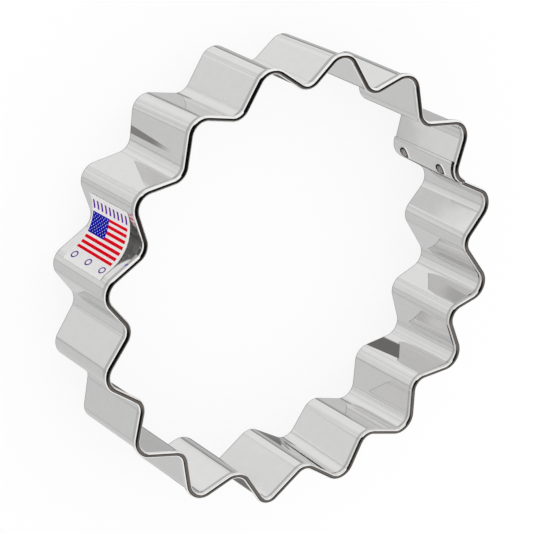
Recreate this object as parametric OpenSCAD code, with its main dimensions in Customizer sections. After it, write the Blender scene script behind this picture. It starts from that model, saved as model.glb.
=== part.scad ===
// Biscuit cutter: one strip of tinplate, rolled over along its top edge and
// bent into a sixteen-pointed ring. The strip's plain tongue laps inside its
// other end at one valley, where two spot welds hold it. A paper label
// bridges one of the outer bays. +Z is up, with the cutting edge at the foot.

/* [Outline] */
// Points round the ring
point_count = 16; // [14:1:18]
// Across opposite tips, over the outer faces of the wall
across_tips = 101.6; // [99:0.1:106]
// How far a tip stands out from a valley, on the same face of the sheet
point_depth = 6.15; // [5.4:0.05:7]
// Bend radius at a tip, to the middle of the sheet
tip_bend_r = 3.6; // [2.8:0.1:3.8]
// Bend radius at a valley, to the middle of the sheet
valley_bend_r = 3.5; // [2.8:0.1:3.8]

/* [Strip] */
// Height from the cutting edge to the top of the rolled edge
strip_h = 22.2; // [20:0.1:40]
// Thickness of the tinplate
sheet = 0.3; // [0.2:0.05:0.4]

/* [Rolled edge] */
// Width over the rolled edge
bead_w = 1.3; // [1.1:0.05:1.5]
// How far the rolled edge stands in from the wall's inner face
bead_inset = 0.3; // [0:0.05:0.4]
// How far the sheet comes back down outside the wall
hem_h = 2; // [1.6:0.1:3]
// Clearance between the lip's edge and the wall
lip_gap = 0.06; // [0.04:0.01:0.12]

/* [Lap joint] */
// Clearance between the two layers of the lap
lap_gap = 0.1; // [0.08:0.01:0.2]
// How far the hemmed end runs past the valley bend
butt_stub = 0.5; // [0.2:0.1:0.8]
// Gap between the two ends of the rolled edge
butt_gap = 0.3; // [0.2:0.05:0.6]
// How far the tongue runs past the valley bend
tongue_run = 0.9; // [0.6:0.1:2]
// How far the tongue reaches up past the foot of the rolled edge
tongue_rise = 0.2; // [0:0.05:0.2]
// Radius of the tongue's upper corner
tongue_corner_r = 0.8; // [0.3:0.1:1]

/* [Spot welds] */
// Diameter of a weld
weld_d = 3; // [2:0.1:3.4]
// Height of the lower weld above the cutting edge
weld_z = 4.8; // [3:0.1:6]
// Distance between the two welds
weld_pitch = 12.7; // [8:0.1:13]
// How far round the bend the welds sit, towards the tongue's end
weld_turn = 6; // [0:1:10]
// Depth of the electrode's mark in each face
weld_dip = 0.06; // [0.02:0.01:0.1]

/* [Label] */
// Bays from the lap joint to the label, anticlockwise from above
label_bay = 6; // [2:1:12]
// Width of the label along the cutter's height
label_w = 15.3; // [10:0.1:15.5]
// From the lip's edge down to the label
label_drop = 1.6; // [0.3:0.1:2]
// Thickness of the paper
paper = 0.1; // [0.06:0.02:0.2]
// Thickness of the adhesive under the paper
glue = 0.03; // [0.02:0.01:0.06]
// Length stuck to each flank, beside the point's bend
label_stick = 0.8; // [0.5:0.1:2.3]
// How far before that bend the paper ends on the clockwise side
label_stop = 0.2; // [0:0.1:0.3]
// Length that wraps on to the tip's bend on the other side
label_wrap = 1.4; // [0.5:0.1:2]

/* [Hidden] */
$fn = 96;
// Hairline by which a bend is thicker than the flats that run into it
bend_swell = 0.01;
// How far a flat runs into the bend beside it
bite = 0.1;
// How far a cutting tool runs past the metal
overrun = 1;
// Steps in the label's swing, and in its wrap
swing_steps = 14;
wrap_steps = 3;

pitch = 360 / point_count;
tip_r = (across_tips - sheet) / 2;
valley_r = tip_r - point_depth;
// Distances of the bends' centres from the ring's axis
tip_centre = tip_r - tip_bend_r;
valley_centre = valley_r + valley_bend_r;
// A tip's centre to its neighbour valley's centre
link_out = valley_centre * cos(pitch / 2) - tip_centre;
link_side = valley_centre * sin(pitch / 2);
link = norm([link_out, link_side]);
// The tongue lies this far inside the layer that it laps
lap_step = sheet + lap_gap;
nose_r = bead_w / 2;
tongue_h = strip_h - hem_h + tongue_rise;
label_z = strip_h - hem_h - label_drop - label_w;

// Turn from a tip's radius to the normal of its flank, for a valley bend that
// is larger by extra
function flank_turn(extra = 0) =
    atan2(link_side, link_out) - acos((tip_bend_r + valley_bend_r + extra) / link);
// Length of the flat between the two bends
function flank_length(extra = 0) =
    sqrt(pow(link, 2) - pow(tip_bend_r + valley_bend_r + extra, 2));

tip_half = flank_turn();
valley_half = tip_half - pitch / 2;
lap_tip_half = flank_turn(lap_step);
lap_valley_half = lap_tip_half - pitch / 2;
lap_flank = flank_length(lap_step);
// Where the rolled edge of the tongue's flank stops, from its tip's bend
lap_hem_end = lap_flank - butt_stub - butt_gap;

// Points of an arc about c, from angle a to angle b
function arc(c, r, a, b, steps) =
    [for (i = [0 : steps]) let (t = a + (b - a) * i / steps) c + r * [cos(t), sin(t)]];

// Upper half of a disc
module half_disc(r) {
    intersection() {
        circle(r);
        translate([-r, 0]) square([2 * r, r]);
    }
}

// A leg of the rolled edge, from its foot's middle to its head's middle
module leg(foot, head, half) {
    polygon([foot - [half, 0], foot + [half, 0], head + [half, 0], head - [half, 0]]);
}

// Section of the strip: x outwards from the middle of the sheet, y upwards. The
// two legs of the rolled edge close in on each other down to the lip's edge
module hemmed_section(swell = 0) {
    half = sheet / 2 + swell;
    nose = [nose_r - sheet / 2 - bead_inset, strip_h - nose_r];
    neck_y = strip_h - hem_h;
    translate([-half, 0]) square([2 * half, neck_y]);
    leg([0, neck_y], nose - [nose_r - sheet / 2, 0], half);
    translate(nose) difference() {
        half_disc(nose_r + swell);
        half_disc(nose_r - sheet - swell);
    }
    leg([sheet + lip_gap, neck_y - swell], nose + [nose_r - sheet / 2, 0], half);
}

// Section of the tongue, which has no rolled edge
module tongue_section(swell = 0) {
    wall = sheet + 2 * swell;
    translate([-wall / 2, 0]) square([wall, tongue_h + swell]);
}

// A flat stretch with its outer face towards +X, from y = from to y = to
module flat(from, to) {
    translate([0, to, 0]) rotate([90, 0, 0]) linear_extrude(to - from) children();
}

// A bend round the Z axis from angle a to angle b. Its section's outward side
// faces away from the axis, or towards it for a valley
module tip_bend(r, a, b) {
    rotate(a) rotate_extrude(angle = b - a) translate([r, 0]) children();
}
module valley_bend(r, a, b) {
    rotate(180 + a) rotate_extrude(angle = b - a) translate([r, 0]) mirror([1, 0]) children();
}

// One point of the ring: its bend and the flats on both sides
module point(ccw_half = tip_half, ccw_end = flank_length() + bite) {
    translate([tip_centre, 0, 0]) {
        tip_bend(tip_bend_r, -tip_half, ccw_half) hemmed_section(bend_swell);
        rotate(ccw_half) translate([tip_bend_r, 0, 0])
            flat(-bite, ccw_end) hemmed_section();
        rotate(-tip_half) translate([tip_bend_r, 0, 0])
            flat(-flank_length() - bite, bite) hemmed_section();
    }
}

module valley() {
    translate([valley_centre, 0, 0])
        valley_bend(valley_bend_r, -valley_half, valley_half) hemmed_section(bend_swell);
}

// The end that lies outside in the lap: a bend and a short stub
module outer_end() {
    translate([valley_centre, 0, 0]) {
        valley_bend(valley_bend_r, -valley_half, valley_half) hemmed_section(bend_swell);
        rotate(valley_half) translate([-valley_bend_r, 0, 0])
            flat(-butt_stub, bite) hemmed_section();
    }
}

// The tongue, which lies inside in the lap
module tongue() {
    r = valley_bend_r + lap_step;
    rotate(-pitch / 2) translate([tip_centre, 0, 0]) rotate(lap_tip_half)
        translate([tip_bend_r, 0, 0])
            flat(lap_hem_end - bite, lap_flank + bite) tongue_section(-bend_swell);
    translate([valley_centre, 0, 0]) {
        valley_bend(r, -valley_half, lap_valley_half) tongue_section();
        rotate(-valley_half) translate([-r, 0, 0]) difference() {
            flat(-bite, tongue_run) tongue_section(-bend_swell);
            tongue_corner();
        }
    }
}

// What the tongue's rounded corner takes off
module tongue_corner() {
    r = tongue_corner_r;
    translate([-sheet, tongue_run - r, tongue_h - r])
        rotate([90, 0, 90]) linear_extrude(2 * sheet) difference() {
            square(r + overrun);
            circle(r);
        }
}

// Puts its children at each weld, on the bend's centre line with +X through
// the layers towards the ring's axis
module at_welds() {
    for (i = [0, 1])
        translate([valley_centre, 0, weld_z + i * weld_pitch]) rotate(180 - weld_turn) children();
}

module weld_core(from, to) {
    translate([from, 0, 0]) rotate([0, 90, 0]) cylinder(h = to - from, d = weld_d);
}

inner_face_r = valley_bend_r + lap_step + sheet / 2;
outer_face_r = valley_bend_r - sheet / 2;

// The strip, bent and rolled, in one piece
module cutter_band() {
    color([0.80, 0.80, 0.80]) union() {
        for (i = [0 : point_count - 2]) rotate((i + 1 / 2) * pitch) point();
        rotate(-pitch / 2) point(lap_tip_half, lap_hem_end);
        for (i = [1 : point_count - 1]) rotate(i * pitch) valley();
        difference() {
            outer_end();
            at_welds() weld_core(outer_face_r - overrun, inner_face_r);
        }
        difference() {
            tongue();
            at_welds() weld_core(outer_face_r, inner_face_r + overrun);
        }
    }
}

// The two welds, each a plug of fused metal through both layers
module spot_welds() {
    color([0.55, 0.53, 0.51]) at_welds() difference() {
        intersection() {
            weld_core(outer_face_r - overrun, inner_face_r + overrun);
            cylinder(h = 2 * weld_d, r = inner_face_r - weld_dip, center = true);
        }
        cylinder(h = 3 * weld_d, r = outer_face_r + weld_dip, center = true);
    }
}

// Plan outline of one face of the label, in the frame of its bay: off is the
// face's distance outwards from the middle of the sheet, and the paper lifts
// off at lift from the bay's bend
function label_face(off) =
    let (
        lift = flank_length() - label_stick,
        swing = valley_bend_r - off + lift / tan(valley_half),
        swing_c = [valley_centre + lift / sin(valley_half), 0],
        tip_c = tip_centre * [cos(pitch / 2), sin(pitch / 2)],
        tip_a = -valley_half,
        wrap_r = tip_bend_r + off,
        wrap_turn = label_wrap / (tip_bend_r + sheet / 2) * 180 / PI,
        short_end = swing_c + swing * [cos(180 + valley_half), sin(180 + valley_half)]
            + (label_stick - label_stop) * [sin(valley_half), -cos(valley_half)]
    )
    concat(
        [short_end],
        arc(swing_c, swing, 180 + valley_half, 180 - valley_half, swing_steps),
        arc(tip_c, wrap_r, tip_a, tip_a + wrap_turn, wrap_steps)
    );

function reversed(list) = [for (i = [len(list) - 1 : -1 : 0]) list[i]];

// The label: stuck to both flanks of a bay, and clear of its bottom
module paper_label() {
    inner = label_face(sheet / 2 + glue);
    outer = label_face(sheet / 2 + glue + paper);
    color([0.96, 0.96, 0.95]) rotate(label_bay * pitch) translate([0, 0, label_z])
        linear_extrude(label_w) polygon(concat(inner, reversed(outer)));
}

cutter_band();
spot_welds();
paper_label();
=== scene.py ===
# Biscuit cutter: the looks of a sixteen-pointed ring of bright tinplate with a
# rolled top edge, two spot welds and a printed paper label.
import math

import bpy
from mathutils import Matrix, Vector


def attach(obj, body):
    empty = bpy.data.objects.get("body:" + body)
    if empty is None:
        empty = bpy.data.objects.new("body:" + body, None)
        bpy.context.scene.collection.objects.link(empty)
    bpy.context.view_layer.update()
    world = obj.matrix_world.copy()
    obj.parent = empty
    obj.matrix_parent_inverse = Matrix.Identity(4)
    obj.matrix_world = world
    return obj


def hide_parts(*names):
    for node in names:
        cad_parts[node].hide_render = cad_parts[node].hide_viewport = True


MM = 0.001
WHITE = (1, 1, 1, 1)

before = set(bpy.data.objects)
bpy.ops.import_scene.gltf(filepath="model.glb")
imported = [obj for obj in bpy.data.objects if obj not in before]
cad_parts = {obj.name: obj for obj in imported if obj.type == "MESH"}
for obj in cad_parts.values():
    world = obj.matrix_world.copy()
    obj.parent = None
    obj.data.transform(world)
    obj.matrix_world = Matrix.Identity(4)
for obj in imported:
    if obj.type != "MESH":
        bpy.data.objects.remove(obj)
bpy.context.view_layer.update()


def add_object(name, data):
    obj = bpy.data.objects.new(name, data)
    bpy.context.scene.collection.objects.link(obj)
    return obj


def add_face(name, corners):
    """Object of one four-sided face, with its corners in metres."""
    mesh = bpy.data.meshes.new(name)
    mesh.from_pydata(corners, [], [(0, 1, 2, 3)])
    return add_object(name, mesh)


# Camera, on the side and at the height from which the photograph was taken
CAMERA_AZIMUTH = 121.83
CAMERA_ELEVATION = 49.06
CAMERA_DISTANCE = 523.0 * MM
CAMERA_ROLL = 119.07
LOOKS_AT = Vector((-2.02, 2.45, 11.1)) * MM
FOCAL_PIXELS = 2400
PHOTO_PIXELS = 533
SENSOR = 36.0


def direction(azimuth, elevation):
    """Unit vector at that azimuth from +X and elevation above the horizon, in degrees."""
    a, e = math.radians(azimuth), math.radians(elevation)
    return Vector((math.cos(a) * math.cos(e), math.sin(a) * math.cos(e), math.sin(e)))


def make_camera():
    data = bpy.data.cameras.new("camera")
    data.sensor_width = SENSOR
    data.lens = FOCAL_PIXELS / PHOTO_PIXELS * SENSOR
    camera = add_object("camera", data)
    away = direction(CAMERA_AZIMUTH, CAMERA_ELEVATION)
    level = (-away).to_track_quat("-Z", "Y").to_matrix()
    turn = Matrix.Rotation(math.radians(CAMERA_ROLL), 3, "Z")
    camera.matrix_world = Matrix.LocRotScale(
        LOOKS_AT + away * CAMERA_DISTANCE, (level @ turn).to_quaternion(), None
    )
    bpy.context.scene.camera = camera


# Half the width in millimetres over which a drawn shape's edge fades
SOFT = 0.04


class Graph:
    """A node tree with short calls for the nodes that repeat."""

    def __init__(self, owner):
        owner.use_nodes = True
        self.tree = owner.node_tree
        self.tree.nodes.clear()

    def add(self, kind, **inputs):
        node = self.tree.nodes.new(kind)
        for name, value in inputs.items():
            self.set(node.inputs[name.replace("_", " ")], value)
        return node

    def set(self, socket, value):
        if isinstance(value, bpy.types.NodeSocket):
            self.tree.links.new(value, socket)
        else:
            socket.default_value = value

    def math(self, operation, *values, clamp=False):
        node = self.tree.nodes.new("ShaderNodeMath")
        node.operation = operation
        node.use_clamp = clamp
        for socket, value in zip(node.inputs, values):
            self.set(socket, value)
        return node.outputs[0]

    def length(self, x, y):
        squares = self.math("ADD", self.math("MULTIPLY", x, x), self.math("MULTIPLY", y, y))
        return self.math("SQRT", squares)

    def split(self, vector):
        return self.add("ShaderNodeSeparateXYZ", Vector=vector).outputs

    def noise(self, place, scale, detail):
        node = self.add("ShaderNodeTexNoise", Vector=place, Scale=scale, Detail=detail)
        return node.outputs["Fac"]

    def mix(self, factor, a, b):
        """Plain number between a and b."""
        node = self.tree.nodes.new("ShaderNodeMix")
        node.data_type = "FLOAT"
        self.set(node.inputs["Factor"], factor)
        self.set(node.inputs["A"], a)
        self.set(node.inputs["B"], b)
        return node.outputs["Result"]

    def over(self, share, under, colour):
        """Colour laid over another one."""
        node = self.tree.nodes.new("ShaderNodeMix")
        node.data_type = "RGBA"
        self.set(node.inputs["Factor"], share)
        # by number, as the sockets for plain numbers have the same names
        self.set(node.inputs[6], under)
        self.set(node.inputs[7], colour)
        return node.outputs[2]

    def blend(self, share, under, over):
        """Shader laid over another one."""
        node = self.tree.nodes.new("ShaderNodeMixShader")
        for socket, value in zip(node.inputs, (share, under.outputs[0], over.outputs[0])):
            self.set(socket, value)
        return node

    def output(self, kind, shader):
        self.add(f"ShaderNodeOutput{kind}", Surface=shader.outputs[0])

    def ramp(self, factor, stops):
        """Grey at each share of the way."""
        node = self.tree.nodes.new("ShaderNodeValToRGB")
        elements = node.color_ramp.elements
        while len(elements) < len(stops):
            elements.new(0.5)
        for element, (place, grey) in zip(elements, stops):
            element.position = place
            element.color = (grey, grey, grey, 1)
        self.set(node.inputs["Fac"], factor)
        return node.outputs["Color"]

    def ease(self, value, start, end):
        """0 at start, 1 at end, and smooth between."""
        node = self.tree.nodes.new("ShaderNodeMapRange")
        node.interpolation_type = "SMOOTHSTEP"
        self.set(node.inputs["Value"], value)
        self.set(node.inputs["From Min"], start)
        self.set(node.inputs["From Max"], end)
        return node.outputs["Result"]

    def inside(self, value, low, high):
        """1 from low to high, and 0 outside."""
        rise = self.ease(value, low - SOFT, low + SOFT)
        return self.math("MULTIPLY", rise, self.ease(value, high + SOFT, high - SOFT))

    def box(self, x, y, low_x, high_x, low_y, high_y):
        """1 in a rectangle, and 0 outside."""
        return self.math("MULTIPLY", self.inside(x, low_x, high_x), self.inside(y, low_y, high_y))

    def off_grid(self, value):
        """Distance from the nearest whole number, with its sign."""
        return self.math("SUBTRACT", value, self.math("ROUND", value))


# What the metal reflects of the floor round the ring: the share of white at each
# heading in degrees, with straight blends between
PANELS = [
    (-180, 0.70),
    (-85, 0.70),
    (-76, 0.30),
    (-68, 0.15),
    (-48, 0.15),
    (-38, 0.35),
    (-24, 0.50),
    (-15, 0.66),
    (-7, 0.56),
    (2, 0.49),
    (10, 0.46),
    (12, 0.20),
    (16, 0.20),
    (19, 0.92),
    (50, 0.93),
    (70, 0.96),
    (82, 0.91),
    (88, 0.90),
    (92, 0.78),
    (95, 0.90),
    (98, 0.90),
    (101, 0.70),
    (103, 0.70),
    (105.5, 0.96),
    (110, 0.92),
    (115, 0.88),
    (122, 0.83),
    (154, 0.82),
    (157, 0.62),
    (162, 0.62),
    (166, 0.73),
    (180, 0.70),
]
# The floor under the ring, and how far down in degrees the panels turn into it
UNDERNEATH, PANELS_BEGIN = 0.55, (-58.0, -68.0)
# The white walls of the tent, and how far down the panels turn into them
WALLS, PANELS_END = 1.15, (-44.0, -30.0)
# The dark ceiling, how far up it begins, and over how many degrees it fades in
CEILING, BRIM, BRIM_FADE = 0.004, 6.0, 6.0
# The soft box under it: its heading, how far up it reaches, and how far to each side
# it fades from nothing to full
BOX_HEADING, BOX_TOP, BOX_SIDES = 45.0, 46.0, (70.0, 40.0)


def make_world():
    world = bpy.data.worlds.new("studio")
    bpy.context.scene.world = world
    g = Graph(world)
    x, y, z = g.split(g.add("ShaderNodeTexCoord").outputs["Generated"])
    azimuth = g.math("DEGREES", g.math("ARCTAN2", y, x))
    elevation = g.math("DEGREES", g.math("ARCSINE", z))
    round_share = g.math("MULTIPLY_ADD", azimuth, 1 / 360, 0.5)
    panels = g.ramp(round_share, [(degrees / 360 + 0.5, grey) for degrees, grey in PANELS])
    walls = g.mix(g.ease(elevation, *PANELS_END), panels, WALLS)
    low = g.mix(g.ease(elevation, *PANELS_BEGIN), walls, UNDERNEATH)
    beside = g.math("ABSOLUTE", g.math("SUBTRACT", azimuth, BOX_HEADING))
    brim = g.mix(g.ease(beside, *BOX_SIDES), BRIM, BOX_TOP)
    above = g.ease(g.math("SUBTRACT", elevation, brim), 0.0, BRIM_FADE)
    pale = g.add("ShaderNodeBackground", Color=WHITE, Strength=1.0)
    studio = g.add("ShaderNodeBackground", Color=WHITE, Strength=g.mix(above, low, CEILING))
    glossy = g.add("ShaderNodeLightPath").outputs["Is Glossy Ray"]
    g.output("World", g.blend(glossy, pale, studio))


FLOOR_SIDE = 4.0
FLOOR_GAP = 0.02 * MM
# How much of the floor's white it takes from the light on it, and so loses in a shadow
FLOOR_MATT = 0.14


def make_floor():
    half = FLOOR_SIDE / 2
    corners = [(-half, -half), (half, -half), (half, half), (-half, half)]
    floor = add_face("floor", [(x, y, -FLOOR_GAP) for x, y in corners])
    material = bpy.data.materials.new("floor_white")
    g = Graph(material)
    white = g.add("ShaderNodeEmission", Color=WHITE, Strength=1.0)
    matt = g.add("ShaderNodeBsdfDiffuse", Color=WHITE)
    g.output("Material", g.blend(FLOOR_MATT, white, matt))
    floor.data.materials.append(material)
    floor.visible_glossy = False
    floor.visible_diffuse = False


# Cards round the ring that only its reflections show, and so paint reflections into the metal:
# the canopy a dim brownish one on the rim, and the far, near and beside cards painted shade,
# dark patches that stand in for the floor's shade next to the walls. Corners in millimetres, the
# light that each gives off, and the share over which each of its sides fades, the one after each
# corner in turn. A card is seen from one side
SHARP = 0.001
CARDS = {
    "canopy": (
        [(-180, -200, 122), (-180, 0, 122), (180, 0, 122), (180, -200, 122)],
        (0.2, 0.178, 0.162, 1),
        (0.1, 0.5, 0.1, SHARP),
    ),
    "far": (
        [(20.7, -40.4, -2.2), (26.1, -41.8, -1.6), (26.4, -41.9, 4.2), (21.5, -40.6, 10.4)],
        (0.18, 0.175, 0.17, 1),
        (SHARP, 0.12, SHARP, SHARP),
    ),
    "near": (
        [(-15.1, 45.1, -2.3), (-15.7, 44.1, 15.6), (-16.0, 43.5, 14.5), (-16.1, 43.4, -2.0)],
        (0.28, 0.275, 0.27, 1),
        (0.2, 0.45, SHARP, SHARP),
    ),
    "beside": (
        [(-28, -38, 0), (-44, -38, 0), (-44, -66, 0), (-28, -66, 0)],
        (0.2, 0.195, 0.19, 1),
        (0.1, 0.1, 0.1, 0.1),
    ),
}
# How far below those places they are, so that one on the floor clears the ring's foot
CARD_DROP = 0.01
# A first reflection's rays are below this depth, and a double reflection's above it
FIRST_DEPTH = 1.5


# Material of a card: a glow that only first reflections see, painting a reflection on the metal
def painted_reflection_card(name, tone, soft):
    material = bpy.data.materials.new(name)
    g = Graph(material)
    # a double reflection doesn't show the card, as it would stand in the way elsewhere
    depth = g.add("ShaderNodeLightPath").outputs["Ray Depth"]
    back = g.add("ShaderNodeNewGeometry").outputs["Backfacing"]
    shown = g.math("SUBTRACT", g.math("LESS_THAN", depth, FIRST_DEPTH), back, clamp=True)
    u, v, _ = g.split(g.add("ShaderNodeUVMap").outputs[0])
    for side, share in zip((v, g.math("SUBTRACT", 1.0, u), g.math("SUBTRACT", 1.0, v), u), soft):
        shown = g.math("MULTIPLY", shown, g.ease(side, 0.0, share))
    clear = g.add("ShaderNodeBsdfTransparent")
    light = g.add("ShaderNodeEmission", Color=tone, Strength=1.0)
    g.output("Material", g.blend(shown, clear, light))
    return material


def make_cards():
    for name, (corners, tone, soft) in CARDS.items():
        places = [(x * MM, y * MM, (z - CARD_DROP) * MM) for x, y, z in corners]
        card = add_face(f"card_{name}", places)
        uv = card.data.uv_layers.new(name="card")
        for loop, place in zip(uv.data, ((0, 0), (1, 0), (1, 1), (0, 1))):
            loop.uv = place
        card.data.materials.append(painted_reflection_card(card.name, tone, soft))
        card.visible_camera = False
        card.visible_diffuse = False
        card.visible_shadow = False
        card.visible_transmission = False


# The strip's sizes in millimetres, as the part's source has them, apart from some of
# the tongue's, the welds' and the label's, which were corrected here
POINT_COUNT = 16
PITCH = 360 / POINT_COUNT
LAST_BEND = 2 * POINT_COUNT
ACROSS_TIPS, POINT_DEPTH = 101.6, 6.15
TIP_BEND, VALLEY_BEND = 3.6, 3.5
STRIP_H, SHEET = 22.2, 0.3
BEAD_W, BEAD_INSET = 1.3, 0.3
HEM_H, LIP_GAP = 2.0, 0.06
LAP_GAP, BUTT_STUB, BUTT_GAP = 0.1, 0.5, 0.3
TONGUE_RUN, TONGUE_RISE, TONGUE_CORNER = 0.4, 0.4, 0.4
WELD_Z, WELD_PITCH = 3.6, 12.9
LABEL_BEND, LABEL_W, LABEL_DROP = 12, 14.7, 2.35
PAPER, GLUE = 0.1, 0.03
LABEL_STICK, LABEL_STOP, LABEL_WRAP = 0.8, 0.2, 1.4

HALF = SHEET / 2
NOSE_R = BEAD_W / 2
TONGUE_H = STRIP_H - HEM_H + TONGUE_RISE
LAP_STEP = SHEET + LAP_GAP
# From the top down to where the wall bends into the rolled edge, and that bend
NECK_DROP, NECK_R = 1.75, 0.8
# Rounding of the sheared edges
EDGE_R, PAPER_EDGE_R = 0.05, 0.02

# How many steps each round stretch and each flank has
BEND_STEPS, FLAT_STEPS = 28, 4
NECK_STEPS, NOSE_STEPS = 4, 24
SWING_STEPS, WRAP_STEPS = 24, 4
# How far up the wall its rows of points are, and how far along the lip
WALL_SHARES = (0.2, 0.4, 0.6, 0.8)
LIP_SHARES = (0.5, 1)
TONGUE_SHARES = (0, 0.2, 0.4, 0.6, 0.8, 0.96, 1)
PAPER_SHARES = (0, 0.25, 0.5, 0.75, 1)
# How far the sections at the tongue's rounded corner are from its end
TONGUE_STEPS = [TONGUE_CORNER * share for share in (1, 0.7, 0.45, 0.25, 0.1, 0.03, 0)]
# How far the normals of a sheared edge turn to one side from the sheet's own heading
EDGE_TURNS = (60, 30, 0)

# The ring was bent by hand, so some bends lie off their even places: how far
# outwards and how far onwards at the foot, by the bend's number round from the
# lap. Odd ones are points
STRAY = {
    0: (-0.1, 0.2),
    1: (-0.4, 0),
    2: (-0.5, 0.2),
    3: (-0.6, 0.6),
    4: (-0.3, 0.2),
    5: (-0.4, 0.8),
    6: (0.3, 0.1),
    8: (0.2, 0.2),
    9: (-0.3, 0.2),
    10: (-0.1, -0.1),
    11: (-0.3, 0),
    12: (-0.5, -0.3),
    13: (-0.2, 0.2),
    14: (0.4, -0.2),
    15: (-0.2, -0.1),
    16: (1, -0.1),
    17: (-0.1, -0.4),
    18: (0.4, -0.1),
    19: (0.2, -0.1),
    20: (0.5, 0.2),
    21: (0.4, 0.2),
    22: (-0.8, 0.7),
    23: (-1.3, 1.3),
    24: (0.2, 0.8),
    25: (0.3, 0.6),
    26: (0.4, 0.2),
    27: (0.3, 0.1),
    28: (0.3, 0),
    29: (0, -1.2),
    30: (-0.2, 0.1),
    31: (-0.2, -0.6),
}
# How much further outwards and onwards they lie at the rim
LEAN = {
    0: (0, -0.2),
    1: (0.3, -0.3),
    5: (0.5, -0.2),
    8: (0.2, -0.2),
    9: (0, -0.5),
    11: (0, -0.2),
    14: (-0.3, 0),
    15: (0.2, 0),
    16: (-0.3, 0.1),
    23: (0.5, -0.2),
    24: (-0.6, 0),
    25: (-0.5, 0.3),
    26: (-0.6, 0.3),
    27: (0.1, 0.4),
    28: (-0.3, 0.1),
    29: (0.5, 0.1),
    30: (0.2, -0.4),
    31: (0.3, 0),
}
# How much wider two bends are than the rest
WIDER = {20: 0.9, 21: -1.0}
# The two ends of the strip's height that its path is worked out for
FOOT, RIM = 0, 1


def unit(degrees):
    return Vector((math.cos(math.radians(degrees)), math.sin(math.radians(degrees))))


def heading(vector):
    return math.degrees(math.atan2(vector.y, vector.x))


def nearest_turn(angle, near):
    """The same angle, less than half a turn from another one."""
    return near + (angle - near + 180) % 360 - 180


def onward(normal):
    """Unit vector along the strip, anticlockwise round the ring."""
    return unit(normal + 90)


def is_tip(bend):
    return bend % 2 == 1


def bend_radius(bend):
    if bend == LAST_BEND:
        return VALLEY_BEND + LAP_STEP
    return (TIP_BEND if is_tip(bend) else VALLEY_BEND) + WIDER.get(bend, 0)


def bend_centre(bend, end):
    tip_r = (ACROSS_TIPS - SHEET) / 2
    reach = tip_r - TIP_BEND if is_tip(bend) else tip_r - POINT_DEPTH + VALLEY_BEND
    outwards = unit(bend * PITCH / 2)
    out, on = STRAY.get(bend % LAST_BEND, (0, 0))
    if end == RIM:
        further = LEAN.get(bend % LAST_BEND, (0, 0))
        out, on = out + further[0], on + further[1]
    return outwards * (reach + out) + Vector((-outwards.y, outwards.x)) * on


def flank_normal(bend, end):
    """Heading of the outward normal of the flank between a bend and the next one."""
    across = bend_centre(bend + 1, end) - bend_centre(bend, end)
    turn = math.degrees(math.acos((bend_radius(bend) + bend_radius(bend + 1)) / across.length))
    return heading(across) + (-turn if is_tip(bend) else turn - 180)


def on_bend(bend, end, normal, off=0):
    """Point of a bend whose outward normal has that heading, or one so far off along it."""
    side = 1 if is_tip(bend) else -1
    return bend_centre(bend, end) + unit(normal) * (side * bend_radius(bend) + off)


def along_bend(bend, end, first, last):
    first = nearest_turn(first, bend * PITCH / 2)
    last = nearest_turn(last, first)
    normals = [first + (last - first) * i / BEND_STEPS for i in range(BEND_STEPS + 1)]
    return [(on_bend(bend, end, normal), unit(normal)) for normal in normals]


def hemmed_path(end):
    """The strip from one end of its rolled edge, once round, to the other end, as it
    runs at its foot or at its rim: points, each with its outward normal."""
    normal = flank_normal(-1, end)
    path = [(on_bend(0, end, normal) - onward(normal) * BUTT_STUB, unit(normal))]
    for bend in range(LAST_BEND):
        after = flank_normal(bend, end)
        path += along_bend(bend, end, normal, after)
        normal = after
        start, stop = path[-1][0], on_bend(bend + 1, end, normal)
        if bend == LAST_BEND - 1:
            stop -= onward(normal) * (BUTT_STUB + BUTT_GAP)
        path += [(start.lerp(stop, i / FLAT_STEPS), unit(normal)) for i in range(1, FLAT_STEPS)]
    return path + [(stop, unit(normal))]


def tongue_path(end):
    """The tongue, from where the rolled edge stops to its own end."""
    root, last = flank_normal(LAST_BEND - 1, end), flank_normal(0, end)
    path = along_bend(LAST_BEND, end, root, last)
    path.insert(0, (path[0][0] - onward(root) * (BUTT_STUB + BUTT_GAP), unit(root)))
    foot = path[-1][0]
    return path + [(foot + onward(last) * (TONGUE_RUN - left), unit(last)) for left in TONGUE_STEPS]


def tangent_heading(point, centre, radius, side):
    """Heading of the line from a point that leaves a circle on its right (side 1) or
    left (-1)."""
    across = centre - point
    return heading(across) + side * math.degrees(math.asin(radius / across.length))


def hem_middle():
    """The middle of the sheet across the strip: points (outwards, up), each with the
    heading of the sheet's right-hand side, from the cutting edge to the lip's edge."""
    bend = NOSE_R - HALF
    nose = Vector((bend - BEAD_INSET, STRIP_H - NOSE_R))
    neck, lip = Vector((0, STRIP_H - NECK_DROP)), Vector((SHEET + LIP_GAP, STRIP_H - HEM_H))
    turn = tangent_heading(neck, nose, bend, 1) - 90
    last = tangent_heading(lip, nose, bend, -1) - 90
    middle = [(Vector((0, EDGE_R)), 0)]
    middle += [(Vector((0, neck.y * share)), 0) for share in WALL_SHARES]
    start = neck - Vector((NECK_R, NECK_R * math.tan(math.radians(turn / 2))))
    for i in range(NECK_STEPS + 1):
        right = turn * i / NECK_STEPS
        middle.append((start + unit(right) * NECK_R, right))
    for i in range(NOSE_STEPS + 1):
        right = turn + (last - 180 - turn) * i / NOSE_STEPS
        middle.append((nose - unit(right) * bend, right))
    leg, right = middle[-1]
    end = lip - (lip - leg).normalized() * EDGE_R
    return middle + [(leg.lerp(end, share), right) for share in LIP_SHARES]


def upright_middle(foot, height, edge_r, shares):
    """The same for a plain sheet that stands up from its foot."""
    rises = [edge_r + (height - 2 * edge_r) * share for share in shares]
    return [(Vector((0, foot + rise)), 0) for rise in rises]


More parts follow.
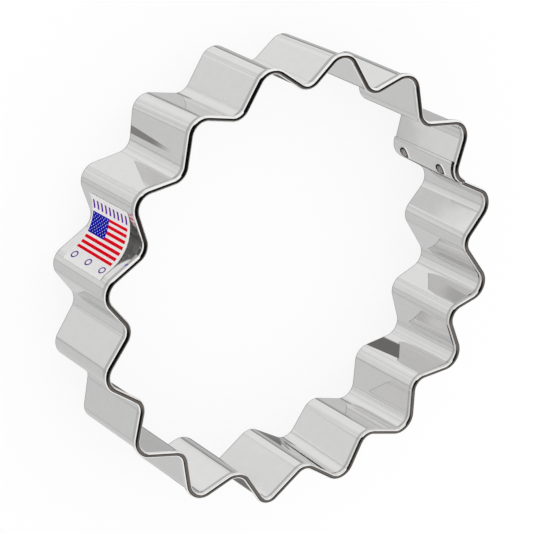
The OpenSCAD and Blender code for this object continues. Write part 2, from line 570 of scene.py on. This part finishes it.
def sheet_outline(middle, half, edge_r):
    """Both faces of a sheet along its middle, and its two rounded edges: points, each
    with the heading of its normal."""

    def edge(point, right):
        out = []
        for side, turns in ((-1, EDGE_TURNS), (1, [-turn for turn in reversed(EDGE_TURNS)])):
            centre = point + unit(right) * side * (half - edge_r)
            out += [(centre + unit(right + 90 + turn) * edge_r, right + 90 + turn) for turn in turns]
        return out

    left = [(point - unit(right) * half, right + 180) for point, right in middle]
    back = [(point + unit(right) * half, right) for point, right in reversed(middle)]
    return left + edge(*middle[-1]) + back + edge(middle[0][0], middle[0][1] - 180)


class Skin:
    """Points, normals, map places and faces that build up to one smooth mesh."""

    def __init__(self):
        self.points, self.normals, self.places, self.faces = [], [], [], []
        self.from_bend = []

    def point(self, place, normal, mapped, from_bend=0.0):
        self.points.append(tuple(c * MM for c in place))
        self.normals.append(tuple(normal.normalized()))
        self.places.append(mapped)
        self.from_bend.append(from_bend)
        return len(self.points) - 1

    def grid(self, rows):
        """Faces between closed rows of points of the same length."""
        for a, b in zip(rows, rows[1:]):
            self.faces += zip(a, a[1:] + a[:1], b[1:] + b[:1], b)

    def object(self, name):
        mesh = bpy.data.meshes.new(name)
        mesh.from_pydata(self.points, [], self.faces)
        strip = mesh.uv_layers.new(name="strip")
        bends = mesh.uv_layers.new(name="bend")
        for loop in mesh.loops:
            strip.data[loop.index].uv = self.places[loop.vertex_index]
            bends.data[loop.index].uv = (self.from_bend[loop.vertex_index], 0.0)
        mesh.normals_split_custom_set_from_vertices(self.normals)
        return add_object(name, mesh)


def lengths(points):
    total, out = 0.0, [0.0]
    for a, b in zip(points, points[1:]):
        total += (b - a).length
        out.append(total)
    return out


# How far the map of an upright strip's inner face begins before its outer face's
BACK_MAP = 1


def sweep(skin, paths, outline, top=None, upright=False, from_bend=None):
    """Carries a strip's outline along its path, which is one at the foot, another at the
    rim, and straight between them. top gives the height that a point of the outline has
    at one place of the path, and from_bend how far each place is from a bend's middle.
    The map runs along the path, and across the outline or, where upright is set, up."""
    runs = lengths([point for point, _ in paths[FOOT]])
    across = lengths([point for point, _ in outline])
    rows = []
    for k, ((foot, foot_out), (rim, rim_out), run) in enumerate(zip(*paths, runs)):
        row = []
        for (point, side), over in zip(outline, across):
            high = point.y if top is None else top(k, point.y)
            base, out = foot.lerp(rim, high / STRIP_H), foot_out.lerp(rim_out, high / STRIP_H)
            normal = unit(side)
            place = (base.x + out.x * point.x, base.y + out.y * point.x, high)
            along = -BACK_MAP - run if point.x < 0 else run
            mapped = (along, high) if upright else (run, over)
            normal = Vector((out.x * normal.x, out.y * normal.x, normal.y))
            row.append(skin.point(place, normal, mapped, from_bend[k] if from_bend else 0.0))
        rows.append(row)
    skin.grid(rows)
    return rows


def end_cap(skin, row, out, side):
    """Flat face over a strip's first end (side -1) or last end (1), where its outward
    normal is out."""
    normal = Vector((-out.y, out.x, 0)) * side
    copy = []
    for index in row[::side]:
        place = Vector(skin.points[index]) / MM
        copy.append(skin.point(place, normal, skin.places[index], skin.from_bend[index]))
    skin.faces.append(tuple(copy))


def make_hemmed_strip(skin):
    paths = [hemmed_path(end) for end in (FOOT, RIM)]
    runs = lengths([point for point, _ in paths[FOOT]])
    # the path has one place before its first bend, and then a bend's and a flank's in turn
    first, step = 1 + BEND_STEPS // 2, BEND_STEPS + FLAT_STEPS
    middles = [runs[first + bend * step] for bend in range(LAST_BEND)]
    from_bend = [min(abs(run - middle) for middle in middles) for run in runs]
    rows = sweep(skin, paths, sheet_outline(hem_middle(), HALF, EDGE_R), from_bend=from_bend)
    end_cap(skin, rows[0], paths[FOOT][0][1], -1)
    end_cap(skin, rows[-1], paths[FOOT][-1][1], 1)


def make_tongue(skin):
    paths = [tongue_path(end) for end in (FOOT, RIM)]
    shoulder = TONGUE_H - TONGUE_CORNER
    first = len(paths[FOOT]) - len(TONGUE_STEPS)

    def top(k, y):
        if y <= shoulder or k < first:
            return y
        left = TONGUE_STEPS[k - first]
        drop = TONGUE_CORNER - math.sqrt(TONGUE_CORNER**2 - (TONGUE_CORNER - left) ** 2)
        return shoulder + (y - shoulder) * (1 - drop / TONGUE_CORNER)

    middle = upright_middle(0, TONGUE_H, EDGE_R, TONGUE_SHARES)
    rows = sweep(skin, paths, sheet_outline(middle, HALF, EDGE_R), top)
    end_cap(skin, rows[-1], paths[FOOT][-1][1], 1)


def make_band():
    skin = Skin()
    make_hemmed_strip(skin)
    make_tongue(skin)
    band = skin.object("band")
    band.data.materials.append(tinplate())
    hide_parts("cutter_band")
    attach(band, "root")


def label_path(end):
    """Middle of the label: stuck to a flank, swung across the bay, and stuck to the next
    flank and on to its point."""
    before, after = LABEL_BEND - 1, LABEL_BEND + 1
    off = HALF + GLUE + PAPER / 2
    a = flank_normal(before, end)
    b = nearest_turn(flank_normal(LABEL_BEND, end), a)
    flank = on_bend(LABEL_BEND, end, a, off) - on_bend(before, end, a, off)
    lift = flank.length - LABEL_STICK
    swing = VALLEY_BEND - off + lift / math.tan(math.radians((a - b) / 2))
    reach = [on_bend(bend, end, n, off).dot(unit(n)) + swing for bend, n in ((before, a), (after, b))]
    centre = Matrix((unit(a), unit(b))).inverted() @ Vector(reach)
    path = [(centre - unit(a) * swing - onward(a) * (LABEL_STICK - LABEL_STOP), unit(a))]
    for i in range(SWING_STEPS + 1):
        out = unit(a + (b - a) * i / SWING_STEPS)
        path.append((centre - out * swing, out))
    wrap = math.degrees(LABEL_WRAP / (TIP_BEND + HALF))
    for i in range(WRAP_STEPS + 1):
        normal = b + wrap * i / WRAP_STEPS
        path.append((on_bend(after, end, normal, off), unit(normal)))
    return path


def make_label():
    skin = Skin()
    foot = STRIP_H - HEM_H - LABEL_DROP - LABEL_W
    middle = upright_middle(foot, LABEL_W, PAPER_EDGE_R, PAPER_SHARES)
    paths = [label_path(end) for end in (FOOT, RIM)]
    rows = sweep(skin, paths, sheet_outline(middle, PAPER / 2, PAPER_EDGE_R), upright=True)
    end_cap(skin, rows[0], paths[FOOT][0][1], -1)
    end_cap(skin, rows[-1], paths[FOOT][-1][1], 1)
    label = skin.object("label")
    label.data.materials.append(paper(foot))
    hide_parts("paper_label")
    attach(label, "root")


# The mark that an electrode left, from its middle outwards: how far out each ring of
# points is, and how high it stands off the sheet
MARK_RINGS = [
    (0.0, 0.012),
    (0.35, 0.012),
    (0.7, 0.012),
    (1.05, 0.012),
    (1.2, 0.014),
    (1.3, 0.02),
    (1.37, 0.038),
    (1.44, 0.058),
    (1.5, 0.066),
    (1.56, 0.064),
    (1.63, 0.05),
    (1.72, 0.024),
    (1.82, 0.004),
    (1.86, -0.01),
]
MARK_SPOKES = 48
# Heading of the lap from the centre that its bend is round, which is outside the ring
LAP_HEADING = 180


def add_mark(skin, up, face, side):
    """A mark that high up on the lap's inner face (side 1) or outer face (-1), which
    lies that far from the middle of the lap's bend."""
    centre = bend_centre(0, FOOT).lerp(bend_centre(0, RIM), up / STRIP_H)
    neighbours = zip(MARK_RINGS[:1] + MARK_RINGS, MARK_RINGS[1:] + MARK_RINGS[-1:])
    rows = []
    for (radius, rise), (before, after) in zip(MARK_RINGS, neighbours):
        slope = (after[1] - before[1]) / (after[0] - before[0])
        row = []
        for k in range(MARK_SPOKES):
            around = unit(360 * k / MARK_SPOKES)
            right, above = around.x * radius, around.y * radius
            out = unit(LAP_HEADING + math.degrees(right / face))
            spot = centre + out * (face + side * rise)
            radial = Vector((-out.y * around.x, out.x * around.x, around.y))
            normal = Vector((out.x * side, out.y * side, 0)) - slope * radial
            row.append(skin.point((spot.x, spot.y, up + above), normal, (right, above)))
        rows.append(row if side < 0 else row[::-1])
    skin.grid(rows)


def make_welds():
    """The electrodes' marks on both faces of the lap."""
    skin = Skin()
    for face, side in ((VALLEY_BEND + LAP_STEP + HALF, 1), (VALLEY_BEND - HALF, -1)):
        for up in (WELD_Z, WELD_Z + WELD_PITCH):
            add_mark(skin, up, face, side)
    welds = skin.object("welds")
    welds.data.materials.append(weld_metal())
    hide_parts("spot_welds")
    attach(welds, "root")


# The tin: its shade and roughness from one patch to another, how much green and blue
# it has beside its red, and how deep its waves and its grain are, in millimetres
TIN_SHADES, TIN_ROUGH = (0.75, 0.765), (0.04, 0.065)
TIN_GREEN, TIN_BLUE = 0.995, 0.99
WAVE_DEPTH, GRAIN_DEPTH = 0.04, 0.0004
# Between which values of the noise a paler or a duller patch comes in
PALE_PATCH, DULL_PATCH = (0.35, 0.65), (0.3, 0.7)
# The foot: from where to where up it fades in, its share of the shade, which is a painted
# shadow along the bottom of the wall, and its roughness, duller where it was sheared
DULL_SHADOWED_FOOT, FOOT_SHADOW, SHEARED_ROUGH = (0.3, 0.1), 0.4, 0.3
# Painted shade: darker lines beside each bend, where the flank turns into the bend. How far
# they are from the middle of a bend, how far they wander, from where to where beside their
# middle they fade in, and their shade
BEND_SHADE_AT, BEND_SHADE_WANDER, BEND_SHADE_SIDES, BEND_SHADE = 1.7, 0.6, (0.35, 0.05), 0.87


def tinplate():
    """Bright rolled sheet: faint waves, a fine grain along the strip, painted shade in soft
    lines beside each bend's middle, and a duller foot where it was sheared, with a painted
    shadow along its bottom."""
    material = bpy.data.materials.new("tinplate")
    g = Graph(material)
    place = g.add("ShaderNodeUVMap").outputs[0]
    drawn = g.add("ShaderNodeMapping", Vector=place, Scale=(0.03, 1.0, 1.0)).outputs[0]
    waves = g.noise(place, scale=0.12, detail=1.0)
    grain = g.noise(drawn, scale=5.0, detail=2.0)
    worn = g.noise(place, scale=0.5, detail=3.0)
    wander = g.noise(drawn, scale=6.0, detail=1.0)
    wavy = g.add("ShaderNodeBump", Strength=1.0, Distance=WAVE_DEPTH * MM, Height=waves)
    fine = g.add(
        "ShaderNodeBump",
        Strength=1.0,
        Distance=GRAIN_DEPTH * MM,
        Height=grain,
        Normal=wavy.outputs[0],
    )
    height = g.split(g.add("ShaderNodeTexCoord").outputs["Object"])[2]
    dull_shadowed_foot = g.ease(height, *(edge * MM for edge in DULL_SHADOWED_FOOT))
    bends = g.add("ShaderNodeUVMap")
    bends.uv_map = "bend"
    line = g.mix(wander, BEND_SHADE_AT - BEND_SHADE_WANDER, BEND_SHADE_AT + BEND_SHADE_WANDER)
    beside = g.math("SUBTRACT", g.split(bends.outputs[0])[0], line)
    bend_shade_line = g.ease(g.math("ABSOLUTE", beside), *BEND_SHADE_SIDES)
    shade = g.mix(g.ease(worn, *PALE_PATCH), *TIN_SHADES)
    # painted shade: the lines beside each bend darken the metal
    shade = g.math("MULTIPLY", shade, g.mix(bend_shade_line, 1.0, BEND_SHADE))
    # painted shadow: the bottom of the wall is darker
    metal = g.math("MULTIPLY", shade, g.mix(dull_shadowed_foot, 1.0, FOOT_SHADOW))
    colour = g.add(
        "ShaderNodeCombineColor",
        Red=metal,
        Green=g.math("MULTIPLY", metal, TIN_GREEN),
        Blue=g.math("MULTIPLY", metal, TIN_BLUE),
    )
    shader = g.add(
        "ShaderNodeBsdfPrincipled",
        Base_Color=colour.outputs[0],
        Metallic=1.0,
        Roughness=g.mix(dull_shadowed_foot, g.mix(g.ease(worn, *DULL_PATCH), *TIN_ROUGH), SHEARED_ROUGH),
        Normal=fine.outputs[0],
    )
    g.output("Material", shader)
    return material


# The label's print, in millimetres from its end and from its lower edge: a national
# flag, as thirteen stripes and a block with fifty dots, between plain ornaments
FIELD = (3.95, 12.45, 0.3, 13.8)
STRIPES = 13
# Where a coloured stripe ends, between the middle of a white one, 0, and its own, 1
STRIPE_EDGE = 0.45
BLOCK_STRIPES, BLOCK_W = 7, 6.35
# Every second place of these rows and columns has a dot
DOT_ROWS, DOT_COLUMNS, DOT_R = 9, 11, 0.12
# A row of plain bars: the rectangle that holds it, where its first bar is, and how
# far from a bar's middle, as shares of the pitch, its sides fade
BARS = (1.2, 3.2, 0.4, 14.3)
FIRST_BAR, BAR_PITCH, BAR_SIDES = 0.9, 1.57, (0.24, 0.19)
# A row of rings: how far along it is, how far up its first ring is, the pitch, and a
# ring's inner and outer radius
RINGS, FIRST_RING, RING_PITCH, RING_RADII = 14.3, 2.1, 5.4, (0.62, 0.95)
INK_RED = (0.72, 0.0, 0.01, 1)
INK_BLUE = (0.0, 0.0, 0.36, 1)
INK_PURPLE = (0.10, 0.005, 0.30, 1)
PAPER_WHITE = (0.83, 0.83, 0.82, 1)
DOT_WHITE = (0.6, 0.65, 0.8, 1)
# How far along the print slides for each millimetre up, as the label was stuck on askew
ASKEW = 0.014
FIBRE_DEPTH = 0.004


def print_field(g, along, up):
    """The flag: stripes across the label, with a dotted block in one corner."""
    start, end, low, _ = FIELD
    stripe = (end - start) / STRIPES
    block_h = BLOCK_STRIPES * stripe
    from_start, from_low = g.math("SUBTRACT", along, start), g.math("SUBTRACT", up, low)
    count = g.math("DIVIDE", from_start, stripe)
    phase = g.math("PINGPONG", g.math("ADD", count, 0.5), 1.0)
    striped = g.ease(phase, STRIPE_EDGE - SOFT / stripe, STRIPE_EDGE + SOFT / stripe)
    field = g.math("MULTIPLY", g.box(along, up, *FIELD), striped)
    colour = g.over(field, PAPER_WHITE, INK_RED)
    block = g.box(along, up, start, start + block_h, low, low + BLOCK_W)
    colour = g.over(block, colour, INK_BLUE)
    # every second place of a grid has a dot, and the grid turned by half a right angle
    # has one at each of its places
    row_h, column_w = block_h / (DOT_ROWS + 1), BLOCK_W / (DOT_COLUMNS + 1)
    column, row = g.math("DIVIDE", from_low, column_w), g.math("DIVIDE", from_start, row_h)
    both = g.off_grid(g.math("MULTIPLY", g.math("ADD", column, row), 0.5))
    apart = g.off_grid(g.math("MULTIPLY", g.math("SUBTRACT", column, row), 0.5))
    across = g.math("MULTIPLY", g.math("ADD", both, apart), column_w)
    onwards = g.math("MULTIPLY", g.math("SUBTRACT", both, apart), row_h)
    spots = g.ease(g.length(across, onwards), DOT_R + SOFT, DOT_R - SOFT)
    within = g.box(column, row, 0.5, DOT_COLUMNS + 0.5, 0.5, DOT_ROWS + 0.5)
    return g.over(g.math("MULTIPLY", spots, within), colour, DOT_WHITE)


def print_bars(g, along, up, colour):
    off = g.off_grid(g.math("DIVIDE", g.math("SUBTRACT", up, FIRST_BAR), BAR_PITCH))
    bar = g.ease(g.math("ABSOLUTE", off), *BAR_SIDES)
    return g.over(g.math("MULTIPLY", bar, g.box(along, up, *BARS)), colour, INK_PURPLE)


def print_rings(g, along, up, colour):
    off = g.off_grid(g.math("DIVIDE", g.math("SUBTRACT", up, FIRST_RING), RING_PITCH))
    radius = g.length(g.math("MULTIPLY", off, RING_PITCH), g.math("SUBTRACT", along, RINGS))
    return g.over(g.inside(radius, *RING_RADII), colour, INK_PURPLE)


def paper(foot):
    material = bpy.data.materials.new("label_paper")
    g = Graph(material)
    place = g.add("ShaderNodeUVMap").outputs[0]
    along, up, _ = g.split(place)
    up = g.math("SUBTRACT", up, foot)
    along = g.math("SUBTRACT", along, g.math("MULTIPLY_ADD", up, -ASKEW, ASKEW * LABEL_W))
    colour = print_field(g, along, up)
    colour = print_bars(g, along, up, colour)
    colour = print_rings(g, along, up, colour)
    fibres = g.noise(place, scale=4.0, detail=4.0)
    bump = g.add("ShaderNodeBump", Strength=1.0, Distance=FIBRE_DEPTH * MM, Height=fibres)
    shader = g.add(
        "ShaderNodeBsdfPrincipled",
        Base_Color=colour,
        Roughness=0.6,
        Specular_IOR_Level=0.15,
        Normal=bump.outputs[0],
        Subsurface_Weight=1.0,
        Subsurface_Radius=(1, 1, 1),
        Subsurface_Scale=0.15 * MM,
    )
    g.output("Material", shader)
    return material


# A weld's mark: burnt metal with a dark ring round it, and bright tin outside, all by
# the distance from its middle in millimetres
BURNT_DARK, BURNT_PALE = (0.16, 0.14, 0.13, 1), (0.46, 0.42, 0.40, 1)
SCORCHED, SCORCHED_RING = (0.008, 0.007, 0.007, 1), (0.98, 1.46)
MARK_TIN, MARK_TIN_FROM = (0.76, 0.755, 0.75, 1), (1.4, 1.46)
BURNT_ROUGH, MARK_TIN_ROUGH, ROUGH_ENDS = 0.42, 0.1, (1.36, 1.42)


def weld_metal():
    material = bpy.data.materials.new("weld_metal")
    g = Graph(material)
    place = g.add("ShaderNodeUVMap").outputs[0]
    x, y, _ = g.split(place)
    radius = g.length(x, y)
    mottle = g.noise(place, scale=2.2, detail=3.0)
    colour = g.over(g.ease(mottle, *PALE_PATCH), BURNT_DARK, BURNT_PALE)
    colour = g.over(g.inside(radius, *SCORCHED_RING), colour, SCORCHED)
    colour = g.over(g.ease(radius, *MARK_TIN_FROM), colour, MARK_TIN)
    rough = g.mix(g.ease(radius, *ROUGH_ENDS), BURNT_ROUGH, MARK_TIN_ROUGH)
    shader = g.add("ShaderNodeBsdfPrincipled", Base_Color=colour, Metallic=1.0, Roughness=rough)
    g.output("Material", shader)
    return material


make_camera()
make_world()
make_floor()
make_cards()
make_band()
make_label()
make_welds()

bpy.context.scene.view_settings.view_transform = "Standard"
